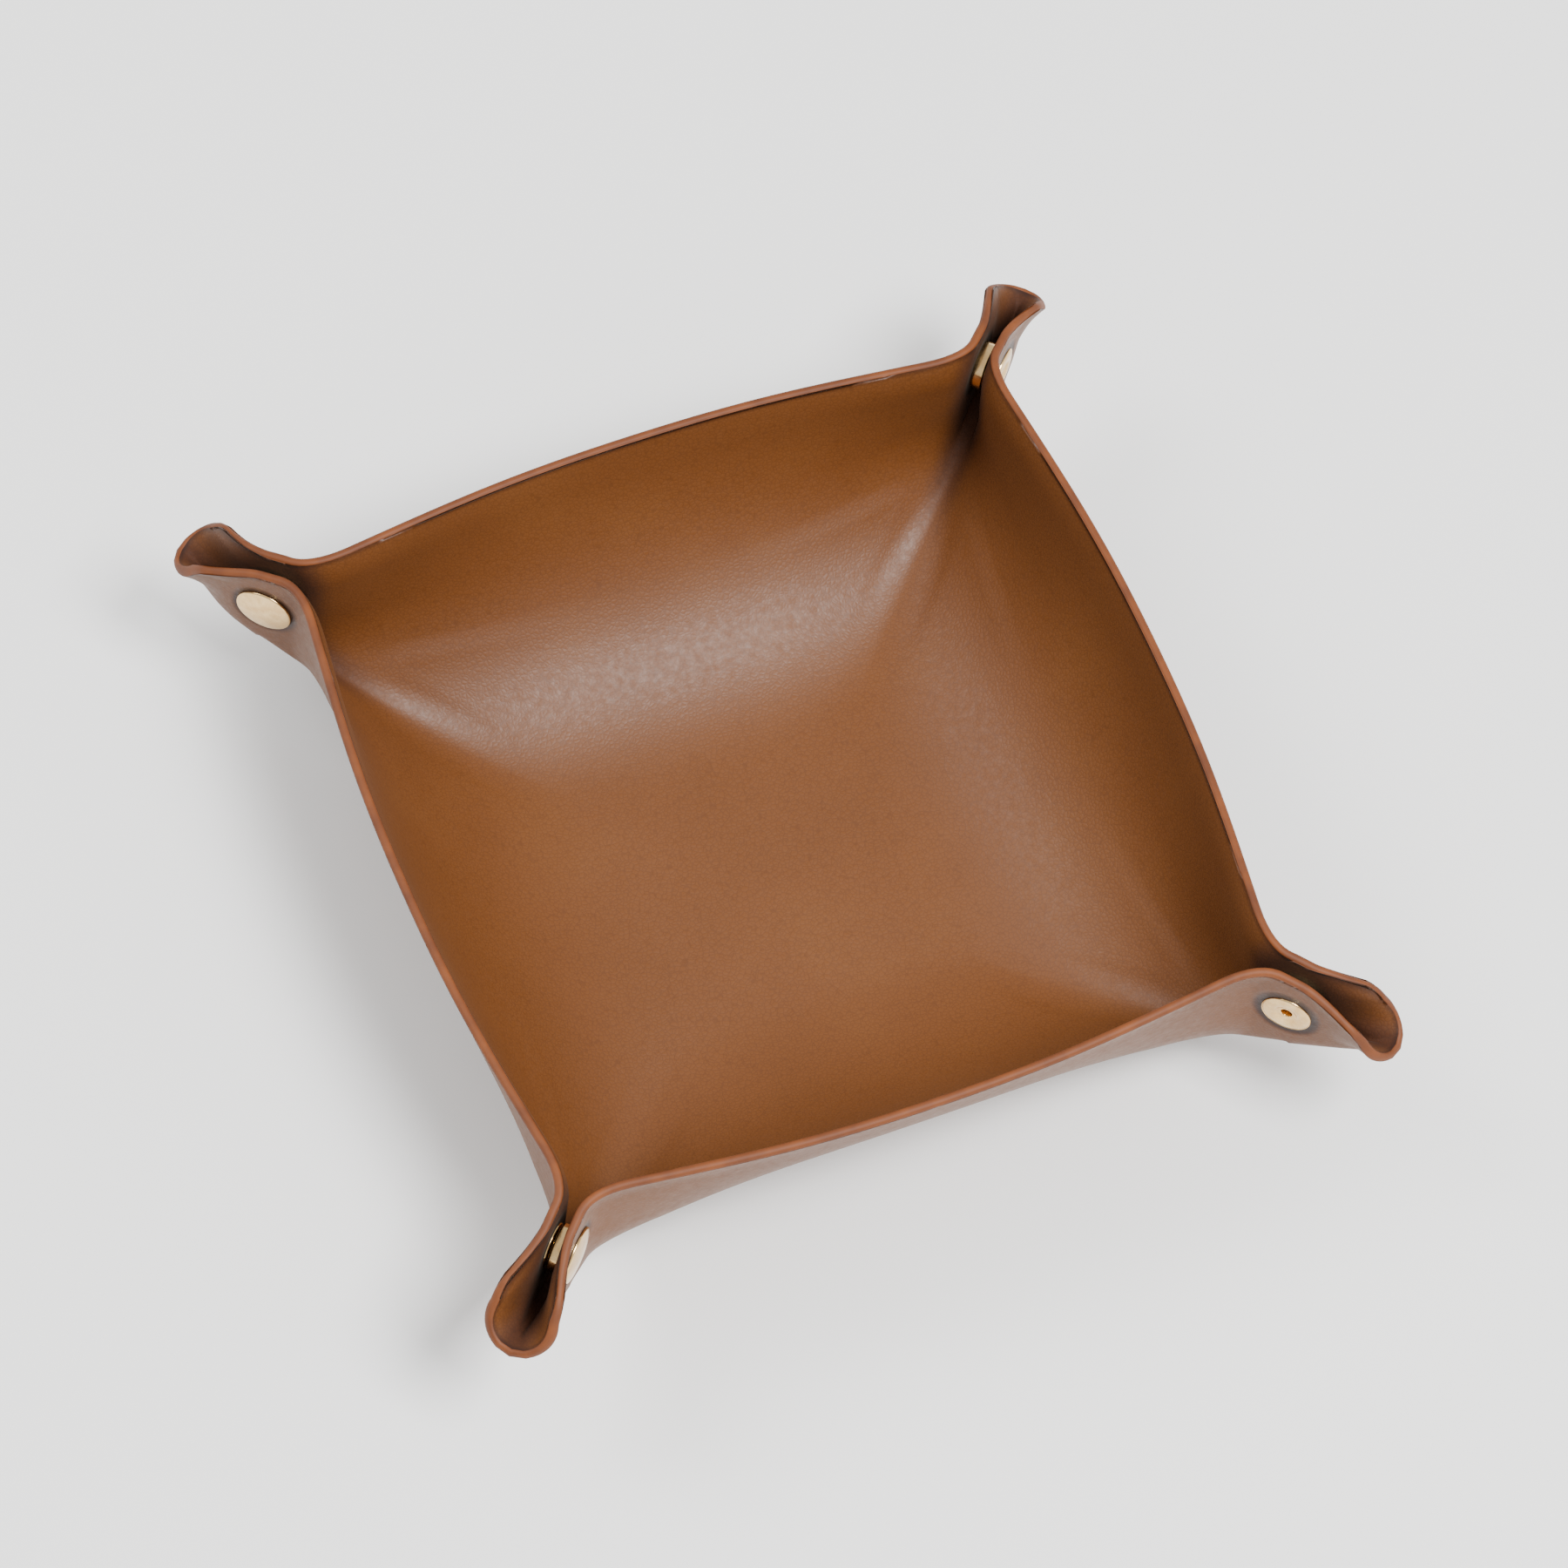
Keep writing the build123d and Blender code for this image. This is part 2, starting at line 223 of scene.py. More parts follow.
def wall_grid():
    """Rows of points on an eighth of the sheet, from the floor up to the edge."""
    tops = []
    for curve, share in columns:
        top = rim_height
        for step in range(top_rounds):
            top = edge_height(diagonal_reach(along_curve(wall_curves(top)[curve], share)))
        tops.append(top)
    rows = []
    for low in low_shares:
        curves = wall_curves(leather / 2 + (fold_level - leather / 2) * low)
        rows.append([along_curve(curves[curve], share) for curve, share in columns])
    for high in high_shares:
        rows.append([
            along_curve(wall_curves(fold_level + (top - fold_level) * high)[curve], share)
            for (curve, share), top in zip(columns, tops)])
    return rows


def fold_grid():
    """Rows of points on a flap, from the crease up to the edge."""
    neck_top = rim_height
    for step in range(top_rounds):
        neck_top = edge_height(neck(neck_top))
    fold_foot = Vector((crease(fold_level), fold_level))
    neck_end = Vector((neck(neck_top), neck_top))
    rows = []
    for high in high_shares:
        level = fold_level + (neck_top - fold_level) * high
        left = Vector((neck(level) if high else crease(level), level))
        turn = radians(crease_slope + 45 * high)
        right = round_center + Vector((cos(turn), sin(turn))) * corner_radius
        row = []
        for fold in fold_shares:
            foot_level = fold_level + (ear_tip.y - fold_level) * fold
            low = Vector((crease(foot_level), foot_level))
            reach = neck_end.x + (round_start.x - neck_end.x) * fold
            top = Vector((reach, edge_height(reach)))
            flat = low.lerp(top, high) + left.lerp(right, fold)
            flat -= fold_foot.lerp(ear_tip, fold).lerp(neck_end.lerp(round_start, fold), high)
            row.append(on_plan(flat.x, flap(flat.x, flat.y) if high else 0, flat.y))
        rows.append(row)
    return rows


# The middle of the leather, whole: eight like eighths and the flat of the base, welded. Leather
# can't take a sharp point, so the place where each fold begins is smoothed.
weld, foot_round, smoothings = 0.02, 17, 10
base_rings = (0.82, 0.78, 0.7, 0.6, 0.4)
middle = bmesh.new()
for grid in (wall_grid(), fold_grid()):
    for mirrored in (False, True):
        for quarter in range(4):
            place = Matrix.Rotation(radians(90 * quarter), 3, "Z")
            if mirrored:
                place = place @ Matrix(((0, 1, 0), (1, 0, 0), (0, 0, 1)))
            rows = [[middle.verts.new(place @ point) for point in row] for row in grid]
            for lower, upper in zip(rows, rows[1:]):
                for a, b, c, d in zip(lower, lower[1:], upper[1:], upper):
                    middle.faces.new((d, c, b, a) if mirrored else (a, b, c, d))
bmesh.ops.remove_doubles(middle, verts=middle.verts, dist=weld)
foot = Vector((crease(fold_level), 0, fold_level))
soft = [v for v in middle.verts if not v.is_boundary and (
    Vector((diagonal_reach(v.co), (abs(v.co.x) - abs(v.co.y)) / root_two, v.co.z))
    - foot).length < foot_round]
for smoothing in range(smoothings):
    bmesh.ops.smooth_vert(middle, verts=soft, factor=0.5, use_axis_x=True, use_axis_y=True,
                          use_axis_z=True)
ring = [e for e in middle.edges
        if e.is_boundary and all(v.co.z < leather / 2 + 0.01 for v in e.verts)]
for share in base_rings:
    made = bmesh.ops.extrude_edge_only(middle, edges=ring)["geom"]
    for v in made:
        if isinstance(v, bmesh.types.BMVert):
            v.co.x *= share
            v.co.y *= share
    ring = [e for e in made if isinstance(e, bmesh.types.BMEdge)]
bmesh.ops.contextual_create(middle, geom=ring)
bmesh.ops.recalc_face_normals(middle, faces=middle.faces)
middle.normal_update()
base_face = min(middle.faces, key=lambda f: f.calc_center_median().length)
if base_face.normal.z > 0:
    bmesh.ops.reverse_faces(middle, faces=middle.faces)
middle.normal_update()
middle.verts.index_update()


def on_diagonal(v):
    """Whether a point of the middle lies on a diagonal."""
    return abs(abs(v.co.x) - abs(v.co.y)) < 0.01


# Both faces of the sheet stand half its thickness off the middle, and the cut edge between them
# is burnished round.
edge_round, bead_steps = 0.42 * leather, 8
rim_edges = [e for e in middle.edges if e.is_boundary]
rim_points = {v for e in rim_edges for v in e.verts}
rim_tree = KDTree(len(rim_points))
for v in rim_points:
    rim_tree.insert(v.co, v.index)
rim_tree.balance()
out_of_rim = {}
for e in rim_edges:
    face = e.link_faces[0]
    out = (e.verts[1].co - e.verts[0].co).normalized().cross(face.normal)
    if out.dot(face.calc_center_median() - e.verts[0].co) > 0:
        out = -out
    for v in e.verts:
        out_of_rim[v.index] = out_of_rim.get(v.index, Vector()) + out
setbacks = {index: out.normalized() * edge_round for index, out in out_of_rim.items()}
points, from_edge, sheet_faces = [], [], []
count = len(middle.verts)
for side in (1, -1):
    for v in middle.verts:
        off = v.normal * (side * leather / 2)
        points.append(v.co + off - setbacks.get(v.index, Vector()))
        from_edge.append(rim_tree.find(v.co)[2])
for f in middle.faces:
    loop = [v.index for v in f.verts]
    sheet_faces.append((loop, 0))
    sheet_faces.append(([i + count for i in reversed(loop)], 0))
bead = {}
for v in rim_points:
    out = setbacks[v.index]
    chain = [v.index]
    for step in range(1, bead_steps):
        turn = pi * step / bead_steps
        points.append(v.co - out + v.normal * (cos(turn) * leather / 2) + out * sin(turn))
        from_edge.append(0)
        chain.append(len(points) - 1)
    bead[v.index] = chain + [v.index + count]
for e in rim_edges:
    a, b = e.verts
    loop = [v.index for v in e.link_faces[0].verts]
    if loop[(loop.index(a.index) + 1) % len(loop)] != b.index:
        a, b = b, a
    for i in range(bead_steps):
        sheet_faces.append(([bead[b.index][i], bead[a.index][i], bead[a.index][i + 1],
                             bead[b.index][i + 1]], 1))
seams = [bead[v.index] for v in rim_points if on_diagonal(v)]
for e in middle.edges:
    a, b = e.verts
    if on_diagonal(a) and on_diagonal(b):
        seams.append([a.index, b.index, b.index + count, a.index + count])

# A core of leather runs inside each fold and stays with the still flap, so that no gap opens
# along the fold when the other flap swings away.
core_start, core_wide, core_thick, core_sides, edge_reach = 4, 1.5, 0.55, 12, 10
creases = {}
for v in middle.verts:
    if not v.is_boundary and v.co.z > core_start and on_diagonal(v):
        creases.setdefault((v.co.x > 0, v.co.y > 0), []).append(v)
cores = []
for line in creases.values():
    line.sort(key=lambda v: diagonal_reach(v.co))
    rings = []
    for v in line:
        across = Vector((-v.co.y, v.co.x, 0)).normalized()
        rings.append(list(range(len(points), len(points) + core_sides)))
        for step in range(core_sides):
            turn = 2 * pi * step / core_sides
            points.append(v.co + across * (core_wide * cos(turn))
                          + v.normal * (core_thick * sin(turn)))
            from_edge.append(edge_reach)
    for one, two in zip(rings, rings[1:]):
        for i in range(core_sides):
            cores.append([one[i], one[i - 1], two[i - 1], two[i]])
    cores += [rings[0], rings[-1][::-1]]
middle.free()

# Each hand-pinched ear settles in its own way: drawn back, widened and leaning to one side.
ears = {(1, 1): (2.8, -0.06, 0), (1, -1): (1.5, 0.04, 0),
        (-1, -1): (0, 0.18, 0), (-1, 1): (2.8, 0.04, -3.5)}
settle_start, settle_run, mouth_draw = 121, 20, 0.04


def settled(point):
    """A point of the sheet, moved as its ear has settled."""
    signs = (1 if point.x > 0 else -1, 1 if point.y > 0 else -1)
    drawn, wider, lean = ears[signs]
    way = Vector((*signs, 0)) / root_two
    side = Vector((-way.y, way.x, 0))
    away = point.dot(side)
    grow = min(max((point.dot(way) - settle_start) / settle_run, 0), 1)
    grow = grow * grow * (3 - 2 * grow)
    back = drawn * grow + mouth_draw * away * away * max(grow - 0.5, 0) * 2
    return (point + side * (away * wider + lean) * grow
            - (way * along_crease.x + Vector((0, 0, along_crease.y))) * back)


settled_points = [settled(point) for point in points]
whole = bpy.data.meshes.new("leather whole")
whole.from_pydata(settled_points, [], [loop for loop, finish in sheet_faces] + cores)
whole.update()
sheet_normals = [v.normal.copy() for v in whole.vertices]


def linear(code):
    """The linear colour of an sRGB hex code."""
    values = [int(code[i:i + 2], 16) / 255 for i in (0, 2, 4)]
    return [v / 12.92 if v <= 0.04045 else ((v + 0.055) / 1.055) ** 2.4 for v in values] + [1]


def add_node(tree, kind, settings=(), inputs=(), stops=()):
    """Adds a node, sets its properties, fills or links its inputs and sets its ramp's colours."""
    node = tree.nodes.new(kind)
    for name, value in dict(settings).items():
        setattr(node, name, value)
    for name, value in dict(inputs).items():
        if isinstance(value, bpy.types.NodeSocket):
            tree.links.new(value, node.inputs[name])
        else:
            node.inputs[name].default_value = value
    for number, (position, code) in enumerate(stops):
        if number == len(node.color_ramp.elements):
            node.color_ramp.elements.new(position)
        node.color_ramp.elements[number].position = position
        node.color_ramp.elements[number].color = linear(code)
    return node


def new_material(name):
    """A material, its node tree and its shader."""
    material = bpy.data.materials.new(name)
    material.use_nodes = True
    return material, material.node_tree, material.node_tree.nodes["Principled BSDF"]


# Full-grain cowhide, drum-dyed tan and waxed to a semi-matte finish. The eye sees a fine pebbled
# grain, darker in its creases, and clouds of tone where the hide took more dye. The real pebbles
# are about 0.5 mm, too fine to show, so they are drawn at about 1 mm.
pebble, fibre, cloud = 0.95, 1.6, 45
cowhide, tree, shader = new_material("Pebbled cowhide, semi-matte")
place = add_node(tree, "ShaderNodeTexCoord").outputs["Object"]
cells = add_node(tree, "ShaderNodeTexVoronoi", {"feature": "DISTANCE_TO_EDGE"},
                 {"Vector": place, "Scale": 1000 / pebble, "Randomness": 1.0})
clouds = add_node(tree, "ShaderNodeTexNoise", inputs={
    "Vector": place, "Scale": 1000 / cloud, "Detail": 3.0, "Roughness": 0.55})
grain = add_node(tree, "ShaderNodeTexNoise", inputs={
    "Vector": place, "Scale": 1000 / fibre, "Detail": 4.0, "Roughness": 0.6})
tone = add_node(tree, "ShaderNodeValToRGB", inputs={"Fac": clouds.outputs["Fac"]}, stops=(
    (0.3, "5f3614"), (0.55, "633917"), (0.75, "673d1a")))
pits = add_node(tree, "ShaderNodeValToRGB", inputs={"Fac": cells.outputs["Distance"]}, stops=(
    (0.0, "5a3218"), (0.12, "ffffff")))
# The last two millimetres before the edge are drawn darker, darkest about a millimetre in.
near_edge = add_node(tree, "ShaderNodeAttribute", {"attribute_name": "from_edge"})
edge_line = add_node(tree, "ShaderNodeValToRGB", inputs={"Fac": near_edge.outputs["Fac"]}, stops=(
    (0.0, "8a5a3a"), (0.10, "6a4028"), (0.22, "ffffff")))
# The clenched fittings press a shallow ring into the leather, 6 to 8 mm from each snap's axis,
# drawn as a bump, and painted shade darkens the leather inside it. The rest_place attribute is
# in millimetres.
rest = add_node(tree, "ShaderNodeAttribute", {"attribute_name": "rest_place"})
rest = add_node(tree, "ShaderNodeVectorMath", {"operation": "ABSOLUTE"},
                {0: rest.outputs["Vector"]})
parts = add_node(tree, "ShaderNodeSeparateXYZ", inputs={0: rest.outputs[0]})
reach = add_node(tree, "ShaderNodeMath", {"operation": "ADD"}, {
    0: parts.outputs["X"], 1: parts.outputs["Y"]})
upright = add_node(tree, "ShaderNodeCombineXYZ", inputs={
    "X": reach.outputs[0], "Y": parts.outputs["Z"]})
upright = add_node(tree, "ShaderNodeMapping", inputs={
    0: upright.outputs[0], "Location": (-snap_reach, -snap_height, 0),
    "Scale": (1 / root_two, 1, 1)})
off_axis = add_node(tree, "ShaderNodeVectorMath", {"operation": "LENGTH"}, {
    0: upright.outputs[0]})
dent_and_snap_shade = add_node(tree, "ShaderNodeMapRange", {"interpolation_type": "SMOOTHSTEP"}, {
    "Value": off_axis.outputs["Value"], "From Min": 5.8, "From Max": 8.2})
# Painted shade round each snap, darkest within 5.8 mm of its axis.
painted_snap_shade = add_node(tree, "ShaderNodeValToRGB", inputs={"Fac": dent_and_snap_shade.outputs["Result"]},
                      stops=((0.0, "6b5348"), (0.45, "a08a7e"), (1.0, "ffffff")))
# Painted shade darkens the inner face along the folds and inside the ears, where the leather is
# also drawn rougher.
across = add_node(tree, "ShaderNodeMath", {"operation": "SUBTRACT"}, {
    0: parts.outputs["X"], 1: parts.outputs["Y"]})
across = add_node(tree, "ShaderNodeMath", {"operation": "ABSOLUTE"}, {0: across.outputs[0]})
near_fold = add_node(tree, "ShaderNodeMapRange", {"interpolation_type": "SMOOTHSTEP"}, {
    "Value": across.outputs[0], "From Min": 1.0, "From Max": 7.0, "To Min": 1.0, "To Max": 0.0})
in_corner = add_node(tree, "ShaderNodeMapRange", {"interpolation_type": "SMOOTHSTEP"}, {
    "Value": reach.outputs[0], "From Min": 118.0, "From Max": 152.0})
inner_face = add_node(tree, "ShaderNodeAttribute", {"attribute_name": "inner_face"})
fold_shade_and_roughness = add_node(tree, "ShaderNodeMath", {"operation": "MULTIPLY"}, {
    0: near_fold.outputs["Result"], 1: in_corner.outputs["Result"]})
fold_shade_and_roughness = add_node(tree, "ShaderNodeMath", {"operation": "MULTIPLY"}, {
    0: fold_shade_and_roughness.outputs[0], 1: inner_face.outputs["Fac"]})
# Painted shade for the folds and the ears' insides.
painted_fold_shade = add_node(tree, "ShaderNodeValToRGB", inputs={"Fac": fold_shade_and_roughness.outputs[0]}, stops=(
    (0.0, "ffffff"), (1.0, "a8988c")))
# The tone is multiplied by the grain's pits, the dark line at the edge, and the painted shade round
# the snaps and in the folds.
colour = tone.outputs["Color"]
for shade, strength in ((pits, 0.22), (edge_line, 0.6), (painted_snap_shade, 1.0), (painted_fold_shade, 1.0)):
    colour = add_node(tree, "ShaderNodeMix", {"data_type": "RGBA", "blend_type": "MULTIPLY"}, {
        0: strength, 6: colour, 7: shade.outputs["Color"]}).outputs[2]
tree.links.new(colour, shader.inputs["Base Color"])
rough = add_node(tree, "ShaderNodeMapRange", inputs={
    "Value": grain.outputs["Fac"], "From Min": 0.3, "From Max": 0.7,
    "To Min": 0.42, "To Max": 0.54})
rough = add_node(tree, "ShaderNodeMath", {"operation": "MULTIPLY_ADD"}, {
    0: fold_shade_and_roughness.outputs[0], 1: 0.35, 2: rough.outputs["Result"]})
tree.links.new(rough.outputs[0], shader.inputs["Roughness"])
shader.inputs["IOR"].default_value = 1.4
shader.inputs["Sheen Weight"].default_value = 0.04
shader.inputs["Sheen Roughness"].default_value = 0.4
shader.inputs["Sheen Tint"].default_value = linear("e8cdb8")
height = add_node(tree, "ShaderNodeMath", {"operation": "MULTIPLY_ADD"}, {
    0: grain.outputs["Fac"], 1: 0.5, 2: cells.outputs["Distance"]})
dent = add_node(tree, "ShaderNodeBump", inputs={
    "Strength": 0.7, "Distance": 0.0006, "Height": dent_and_snap_shade.outputs["Result"]})
bump = add_node(tree, "ShaderNodeBump", inputs={
    "Strength": 0.28, "Distance": 0.0002, "Height": height.outputs[0],
    "Normal": dent.outputs["Normal"]})
tree.links.new(bump.outputs["Normal"], shader.inputs["Normal"])

# Edge paint: a flexible acrylic brushed on in two coats over the burnished edge. The eye sees a
# satin orange-brown line with the small waves, about 6 mm long, that the paint levels to.
paint_wave = 6
edge_paint, tree, shader = new_material("Acrylic edge paint, satin")
place = add_node(tree, "ShaderNodeTexCoord").outputs["Object"]
waves = add_node(tree, "ShaderNodeTexNoise", inputs={
    "Vector": place, "Scale": 1000 / paint_wave, "Detail": 3.0})
colour = add_node(tree, "ShaderNodeValToRGB", inputs={"Fac": waves.outputs["Fac"]}, stops=(
    (0.3, "582b0d"), (0.7, "713a12")))
tree.links.new(colour.outputs["Color"], shader.inputs["Base Color"])
shader.inputs["Roughness"].default_value = 0.62
shader.inputs["IOR"].default_value = 1.42
bump = add_node(tree, "ShaderNodeBump", inputs={
    "Strength": 0.3, "Distance": 0.0003, "Height": waves.outputs["Fac"]})
tree.links.new(bump.outputs["Normal"], shader.inputs["Normal"])


def middle_of(loop):
    """The middle of a face of the sheet, before its ear settled."""
    return sum((points[i] for i in loop), Vector()) / len(loop)


hole_radius, flap_foot, flap_spread = 3.2, 20, 8


def under_snap(point):
    """Whether a point of a flap lies in the hole for a snap's shank."""
    along = diagonal_reach(point) - snap_reach
    return (point.z > flap_foot and abs(abs(point.x) - abs(point.y)) < flap_spread
            and sqrt(along**2 + (point.z - snap_height) ** 2) < hole_radius)


# The sheet is split along its diagonals into four quarters, one for each side. The flat of the base
# is a single face, which goes with the front quarter.
quarters = (("right", 0, "front_right"), ("back", 90, "back_right"),
            ("left", 180, "back_left"), ("front", 270, "front_left"))
most_corners = 8
for name, azimuth, corner in quarters:
    to_right = Matrix.Rotation(radians(-azimuth), 3, "Z")
    chosen = []
    for loop, finish in sheet_faces:
        center = middle_of(loop)
        if under_snap(center):
            continue
        local = to_right @ center
        flat_of_base = len(loop) > most_corners
        if (name == "front") if flat_of_base else (local.x >= abs(local.y)):
            chosen.append((loop, finish))
    for loop in seams:
        local = to_right @ middle_of(loop)
        if local.x > abs(local.y) - 0.5:
            chosen.append((loop, 0))
    for loop in cores:
        local = to_right @ points[loop[0]]
        if local.x > 0 and local.y > 0:
            chosen.append((loop, 0))
    used = {}
    for loop, finish in chosen:
        for i in loop:
            used.setdefault(i, len(used))
    mesh = bpy.data.meshes.new(f"leather_{name}")
    mesh.from_pydata([settled_points[i] / 1000 for i in used], [],
                     [[used[i] for i in loop] for loop, finish in chosen])
    mesh.materials.append(cowhide)
    mesh.materials.append(edge_paint)
    mesh.polygons.foreach_set("material_index", [finish for loop, finish in chosen])
    mesh.polygons.foreach_set("use_smooth", [True] * len(chosen))
    layer = mesh.attributes.new("from_edge", "FLOAT", "POINT")
    layer.data.foreach_set("value", [min(from_edge[i] / edge_reach, 1) for i in used])
    layer = mesh.attributes.new("inner_face", "FLOAT", "POINT")
    layer.data.foreach_set("value", [float(count <= i < 2 * count) for i in used])
    layer = mesh.attributes.new("rest_place", "FLOAT_VECTOR", "POINT")
    layer.data.foreach_set("vector", [part for i in used for part in points[i]])
    mesh.normals_split_custom_set_from_vertices([sheet_normals[i] for i in used])
    mesh.update()
    piece = bpy.data.objects.new(f"leather_{name}", mesh)
    bpy.context.collection.objects.link(piece)
    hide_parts("leather_sheet")
    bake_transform(piece)

# Caps: the outer half of each standard 12.5 mm press snap, a shallow pressed brass dome whose rim
# is rolled under. Its hollow shank goes through the flap and is flared inside the socket. All the
# fittings are plated pale gold and polished: a bright warm metal with faint rubbed patches.
rub_patch = 2.5
pale_gold, tree, shader = new_material("Brass, plated pale gold and polished")
place = add_node(tree, "ShaderNodeTexCoord").outputs["Object"]
rub = add_node(tree, "ShaderNodeTexNoise", inputs={
    "Vector": place, "Scale": 1000 / rub_patch, "Detail": 5.0, "Roughness": 0.65})
colour = add_node(tree, "ShaderNodeValToRGB", inputs={"Fac": rub.outputs["Fac"]}, stops=(
    (0.35, "d3ab72"), (0.65, "e8c68f")))
tree.links.new(colour.outputs["Color"], shader.inputs["Base Color"])
shader.inputs["Metallic"].default_value = 1.0
rough = add_node(tree, "ShaderNodeMapRange", inputs={
    "Value": rub.outputs["Fac"], "To Min": 0.12, "To Max": 0.26})
tree.links.new(rough.outputs["Result"], shader.inputs["Roughness"])

outer_seat, inner_seat = 3.3, 1.9
snap_center = Vector((snap_reach / root_two, snap_reach / root_two, snap_height))
snap_axis = Vector((-1, 1, 0)).normalized()
snap_side = Vector((1, 1, 0)).normalized()
corners = ("back_right", "front_right", "front_left", "back_left")


def arc(center, size, first, last, steps):
    """Places round part of an ellipse, each a radius and a height on a turned piece's axis."""
    turns = [radians(first + (last - first) * step / steps) for step in range(steps + 1)]
    return [(center[0] + size[0] * cos(turn), center[1] + size[1] * sin(turn)) for turn in turns]


turned_weld, sharp_angle = 0.000002, 50


def turned(kind, profile, finish, body, gap=0, sides=72):
    """Turns a profile round each snap's axis, and puts the piece on its body in place of the
    node of its kind."""
    for index, corner in enumerate(corners):
        place = Matrix.Rotation(radians(-90 * index), 3, "Z")
        mesh = bmesh.new()
        rings = []
        for step in range(sides + 1 if gap else sides):
            turn = radians(gap / 2 + (360 - gap) * step / sides)
            out = Vector((0, 0, cos(turn))) + snap_side * sin(turn)
            rings.append([
                mesh.verts.new(place @ (snap_center + out * radius + snap_axis * height) / 1000)
                for radius, height in profile])
        pairs = list(zip(rings, rings[1:])) + ([] if gap else [(rings[-1], rings[0])])
        for one, two in pairs:
            for i in range(len(profile)):
                mesh.faces.new((one[i - 1], two[i - 1], two[i], one[i]))
        if gap:
            mesh.faces.new(rings[0])
            mesh.faces.new(rings[-1][::-1])
        bmesh.ops.remove_doubles(mesh, verts=mesh.verts, dist=turned_weld)
        bmesh.ops.recalc_face_normals(mesh, faces=mesh.faces)
        for face in mesh.faces:
            face.smooth = True
        for edge in mesh.edges:
            edge.smooth = edge.calc_face_angle(0) < radians(sharp_angle)
        data = bpy.data.meshes.new(f"{kind}_{corner}_turned")
        mesh.to_mesh(data)
        mesh.free()
        data.materials.append(finish)
        piece = bpy.data.objects.new(f"{kind}_{corner}_turned", data)
        bpy.context.collection.objects.link(piece)
        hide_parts(f"{kind}_{corner}")
        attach(piece, body.format(corner))


cap_radius, cap_height, cap_roll, cap_wall, cap_lip = 6.25, 1.5, 0.45, 0.45, 0.25
dome_radius, dome_edge, under_edge, under_top = 29.2, 78.5, 79.3, 87.1
shank_radius, shank_bore, shank_flare, shank_end, flare_thick = 1.45, 1.05, 2.3, 1.0, 0.25
socket_plate = 0.5
under_dome = dome_radius - cap_wall
dome_center = (0, outer_seat + cap_height - dome_radius)
clench = inner_seat - socket_plate
turned("cap", [
    *arc(dome_center, (dome_radius, dome_radius), 90, dome_edge, 9),
    *arc((cap_radius - cap_roll, outer_seat + cap_roll), (cap_roll, cap_roll), 72, -90, 10),
    (cap_radius - 2 * cap_roll, outer_seat + cap_lip),
    *arc(dome_center, (under_dome, under_dome), under_edge, under_top, 4),
    (shank_radius, clench), (shank_flare, clench), (shank_flare, clench - flare_thick),
    (shank_bore, clench - flare_thick), (shank_bore, outer_seat + shank_end),
    (0, outer_seat + shank_end),
], pale_gold, "flap_{}")

# Sockets: the female half inside the same flap, a shallow cup drawn from thin brass, whose mouth
# is turned in over the spring. The cap's shank is flared on its plate.
socket_radius, socket_depth, socket_bore, socket_inside = 5.3, 2.85, 1.5, 4.7
plate_round, cup_round, lip_thick, mouth_radius, mouth_flat = 0.3, 0.55, 0.5, 2.57, 3.1
mouth = inner_seat - socket_depth
turned("socket", [
    (socket_bore, inner_seat), (socket_radius - plate_round, inner_seat),
    *arc((socket_radius - plate_round, inner_seat - plate_round),
         (plate_round, plate_round), 90, 0, 4),
    *arc((socket_radius - cup_round, mouth + cup_round), (cup_round, cup_round), 0, -90, 6),
    (mouth_flat, mouth),
    *arc((mouth_radius + plate_round, mouth + lip_thick / 2),
         (plate_round, lip_thick / 2), -90, -180, 4),
    (mouth_radius, mouth + lip_thick), (socket_inside, mouth + lip_thick),
    (socket_inside, clench), (socket_bore, clench),
], pale_gold, "flap_{}")

# Springs: a split ring of drawn steel wire behind each socket's mouth, which spreads to let the
# stud's head in and then grips its neck. The eye sees a grey metal with fine drawing marks. They
# are finer than 0.1 mm, too fine to show, so they are drawn at 0.4 mm.
wire_radius, spring_radius, wire_gap, draw_mark = 0.28, 2.33, 30, 0.4
spring_wire, tree, shader = new_material("Spring steel wire, drawn")
place = add_node(tree, "ShaderNodeTexCoord").outputs["Object"]
draw = add_node(tree, "ShaderNodeTexNoise", inputs={
    "Vector": place, "Scale": 1000 / draw_mark, "Detail": 2.0})
colour = add_node(tree, "ShaderNodeValToRGB", inputs={"Fac": draw.outputs["Fac"]}, stops=(
    (0.3, "9a958c"), (0.7, "b8b3a9")))
tree.links.new(colour.outputs["Color"], shader.inputs["Base Color"])
shader.inputs["Metallic"].default_value = 1.0
shader.inputs["Roughness"].default_value = 0.3
turned("socket_spring",
       arc((spring_radius, mouth + lip_thick + wire_radius), (wire_radius, wire_radius),
           0, 330, 11),
       spring_wire, "flap_{}", gap=wire_gap)

# Studs: the male half inside the other flap, one pressed brass piece with a plate and a hollow
# necked head, which snaps past the wire ring.
stud_radius, stud_plate, stud_round, stud_height = 5.0, 0.6, 0.25, 2.6
neck_radius, neck_height, head_height, head_round, head_half = 1.95, 1.9, 2.3, 0.35, 0.4
stud_base = -inner_seat
head_top = stud_base + stud_height
turned("stud", [
    (socket_bore, stud_base), (stud_radius, stud_base),
    (stud_radius, stud_base + stud_plate - stud_round),
    *arc((stud_radius - stud_round, stud_base + stud_plate - stud_round),
         (stud_round, stud_round), 0, 90, 4),
    (neck_radius + stud_round, stud_base + stud_plate),
    *arc((neck_radius + stud_round, stud_base + stud_plate + stud_round),
         (stud_round, stud_round), -90, -180, 4),
    (neck_radius, stud_base + neck_height),
    *arc((neck_radius, stud_base + head_height), (head_round, head_half), -60, 75, 8),
    (socket_bore, head_top),
], pale_gold, "sheet")

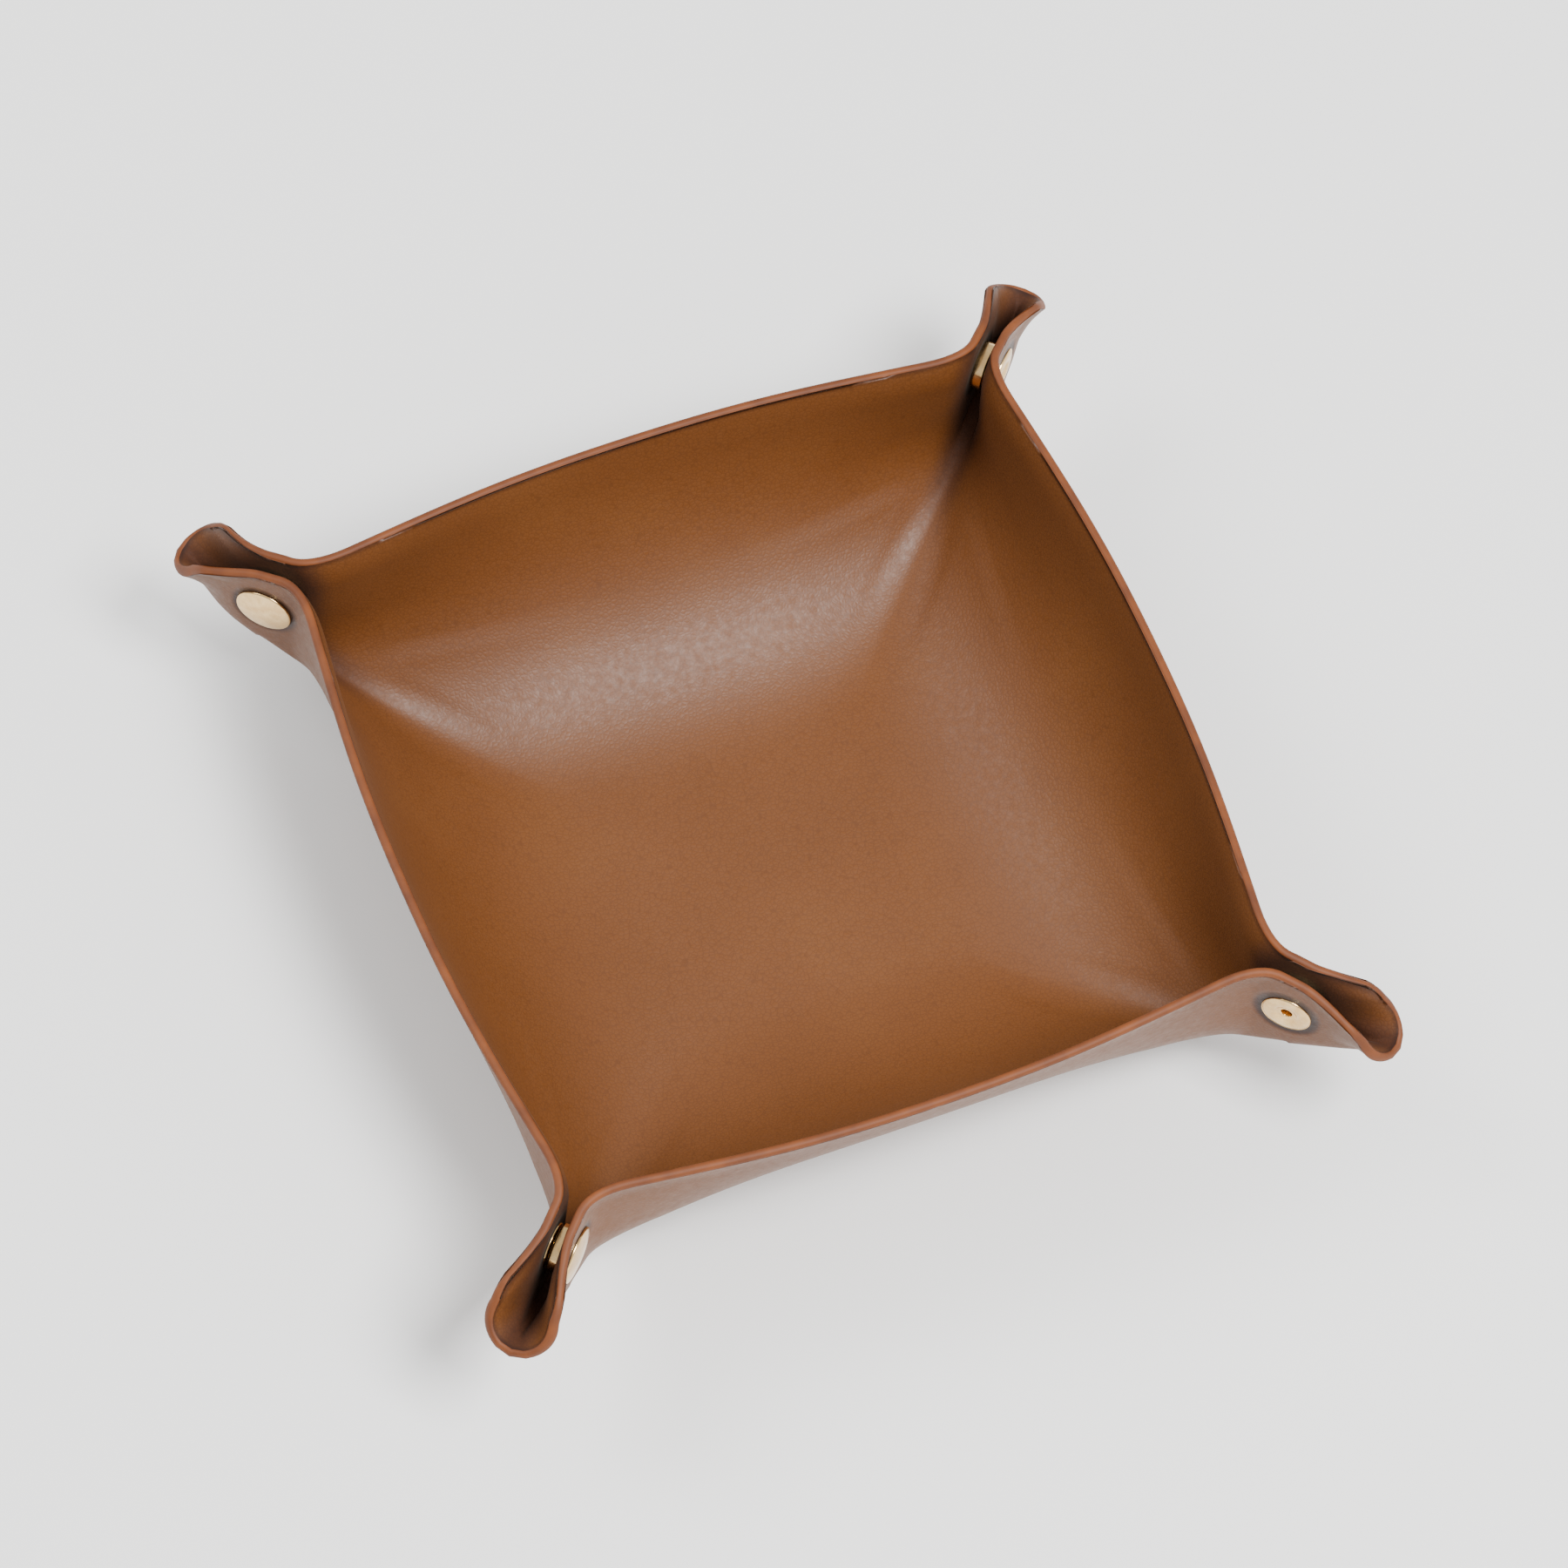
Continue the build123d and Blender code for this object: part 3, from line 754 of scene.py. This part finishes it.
# Posts: a broad brass ring outside that flap, raised and dished to its open centre. Its barrel
# goes through the flap and is flared over the stud's head.
post_rim, post_round, barrel_bore, barrel_flare = 5.2, 0.3, 1.2, 1.9
ring_middle, ring_size, dish_middle, dish_size = 3.75, (1.7, 0.75), 1.9, (0.7, 0.3)
post_face = -outer_seat
turned("post", [
    (post_rim + 0.1, post_face),
    *arc((post_rim, post_face - post_round), (post_round, post_round), 90, -45, 5),
    *arc((ring_middle, post_face - 0.1), ring_size, -25, -150, 12),
    *arc((dish_middle, post_face - 0.05), dish_size, -80, -180, 6),
    (barrel_bore, head_top + flare_thick), (barrel_flare, head_top + flare_thick),
    (barrel_flare, head_top), (shank_radius, head_top), (shank_radius, post_face),
], pale_gold, "sheet")

# The set: a matte white board as the floor, lit by two soft studio lights and an even surround,
# and the camera at the photograph's angle.
bpy.ops.mesh.primitive_plane_add(size=12, location=(0, 0, 0))
floor = bpy.context.object
floor.name = "floor"
floor_paint, tree, shader = new_material("Matte white board")
fibres = add_node(tree, "ShaderNodeTexNoise", inputs={"Scale": 40.0, "Detail": 2.0})
colour = add_node(tree, "ShaderNodeValToRGB", inputs={"Fac": fibres.outputs["Fac"]}, stops=(
    (0.3, "f1f1f0"), (0.7, "f4f4f3")))
tree.links.new(colour.outputs["Color"], shader.inputs["Base Color"])
shader.inputs["Roughness"].default_value = 0.9
floor.data.materials.append(floor_paint)


def softbox(name, place, size, power):
    """A square studio light that faces the tray."""
    light = bpy.data.lights.new(name, "AREA")
    light.shape = "SQUARE"
    light.size = size
    light.energy = power
    lamp = bpy.data.objects.new(name, light)
    bpy.context.collection.objects.link(lamp)
    lamp.location = place
    lamp.rotation_euler = (-Vector(place)).to_track_quat("-Z", "Y").to_euler()


softbox("key softbox", (0.5, -0.86, 1.9), 0.85, 80)
softbox("back softbox", (-1.15, 0.93, 1.63), 0.9, 22)
world = bpy.data.worlds.new("studio")
bpy.context.scene.world = world
world.use_nodes = True
world.node_tree.nodes["Background"].inputs["Color"].default_value = (1, 1, 1, 1)
world.node_tree.nodes["Background"].inputs["Strength"].default_value = 0.9

lens = bpy.data.cameras.new("camera")
lens.sensor_width = 36
lens.lens = 243.17
lens.clip_end = 20
camera = bpy.data.objects.new("camera", lens)
bpy.context.collection.objects.link(camera)
camera.location = (-0.516504, -0.947544, 1.961146)
camera.rotation_euler = (radians(29.1571), radians(-3.5183), radians(-22.3651))
bpy.context.scene.camera = camera
